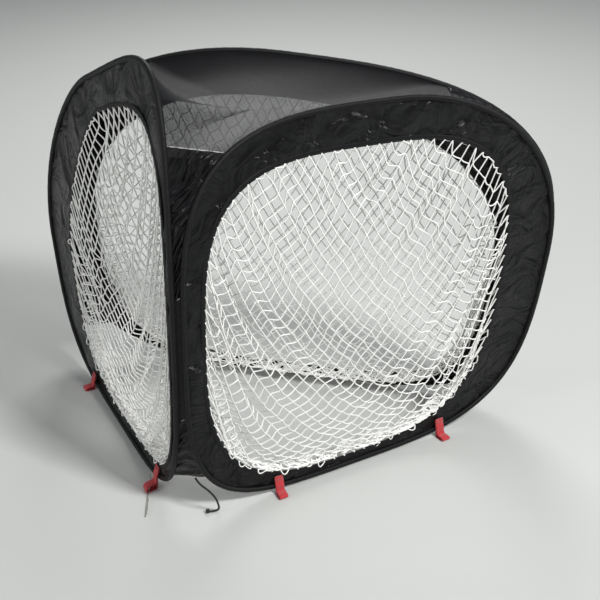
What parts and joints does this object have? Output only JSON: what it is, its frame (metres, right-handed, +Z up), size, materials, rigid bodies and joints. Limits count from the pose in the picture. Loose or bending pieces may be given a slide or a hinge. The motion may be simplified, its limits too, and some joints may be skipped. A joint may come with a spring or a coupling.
{
  "type": "golf chipping net",
  "caption": "Pop-up triangular golf chipping net: sprung hoops with black borders and slack white nets, a see-through mesh top and red loops that peg it to the ground.",
  "frame": {"origin": "middle of the bounding box's footprint, on the ground", "axes": "+X along the widest side, which is at the back, towards its right end as seen from the front; +Y towards that back side; +Z up"},
  "size_m": [1.0498, 0.5618, 0.8457],
  "materials": {
    "spring_steel": "dull drawn spring wire",
    "black_sleeve": "plain woven binding",
    "black_polyester": "shiny taffeta",
    "black_mesh": "fine see-through mesh",
    "white_net": "knotless twine net",
    "red_webbing": "ribbed webbing",
    "zinc_wire": "galvanised wire",
    "black_cord": "braided cord"
  },
  "bodies": {
    "right_panel": {"front_bottom_gusset": "black_polyester", "front_mesh_hem": "black_sleeve", "front_seam_binding": "black_sleeve", "front_tie_cord": "black_cord", "front_tie_knot": "black_cord", "front_top_gusset": "black_polyester", "left_bottom_gusset": "black_polyester", "left_mesh_hem": "black_sleeve", "left_seam_binding": "black_sleeve", "left_top_gusset": "black_polyester", "right_border_panel": "black_polyester", "right_bottom_gusset": "black_polyester", "right_far_ground_loop": "red_webbing", "right_hoop_ferrule": "spring_steel", "right_hoop_sleeve": "black_sleeve", "right_hoop_wire": "spring_steel", "right_mesh_hem": "black_sleeve", "right_near_ground_loop": "red_webbing", "right_net": "white_net", "right_opening_hem": "black_polyester", "right_seam_binding": "black_sleeve", "right_top_gusset": "black_polyester", "top_mesh_panel": "black_mesh"},
    "left_panel": {"left_border_panel": "black_polyester", "left_far_ground_loop": "red_webbing", "left_hoop_ferrule": "spring_steel", "left_hoop_sleeve": "black_sleeve", "left_hoop_wire": "spring_steel", "left_near_ground_loop": "red_webbing", "left_net": "white_net", "left_opening_hem": "black_polyester"},
    "back_panel": {"back_border_panel": "black_polyester", "back_far_ground_loop": "red_webbing", "back_hoop_ferrule": "spring_steel", "back_hoop_sleeve": "black_sleeve", "back_hoop_wire": "spring_steel", "back_near_ground_loop": "red_webbing", "back_net": "white_net", "back_opening_hem": "black_polyester"},
    "peg": {"front_peg": "zinc_wire"}
  },
  "joints": [
    {"name": "back_fold", "type": "hinge", "parent": "right_panel", "child": "back_panel", "pos_m": [0.49905, 0.25274, 0.007], "axis": [-0.1048, 0.0827, -0.9911], "range_deg": [0, 290], "deforming": ["right_bottom_gusset", "right_mesh_hem", "right_seam_binding", "right_top_gusset", "left_bottom_gusset", "left_mesh_hem", "left_seam_binding", "left_top_gusset", "top_mesh_panel"]},
    {"name": "left_fold", "type": "hinge", "parent": "right_panel", "child": "left_panel", "pos_m": [-0.07095, -0.27826, 0.007], "axis": [-0.0073, -0.0462, -0.9989], "range_deg": [0, 30], "deforming": ["front_bottom_gusset", "front_mesh_hem", "front_seam_binding", "front_top_gusset"]},
    {"name": "front_peg_slide", "type": "slide", "parent": "left_panel", "child": "peg", "axis": [0.2772, -0.9608, 0], "range_m": [-0.009, 0.003]}
  ],
  "couplings": [
    {"joint": "left_fold", "follows": "back_fold", "ratio": 0.1}
  ]
}
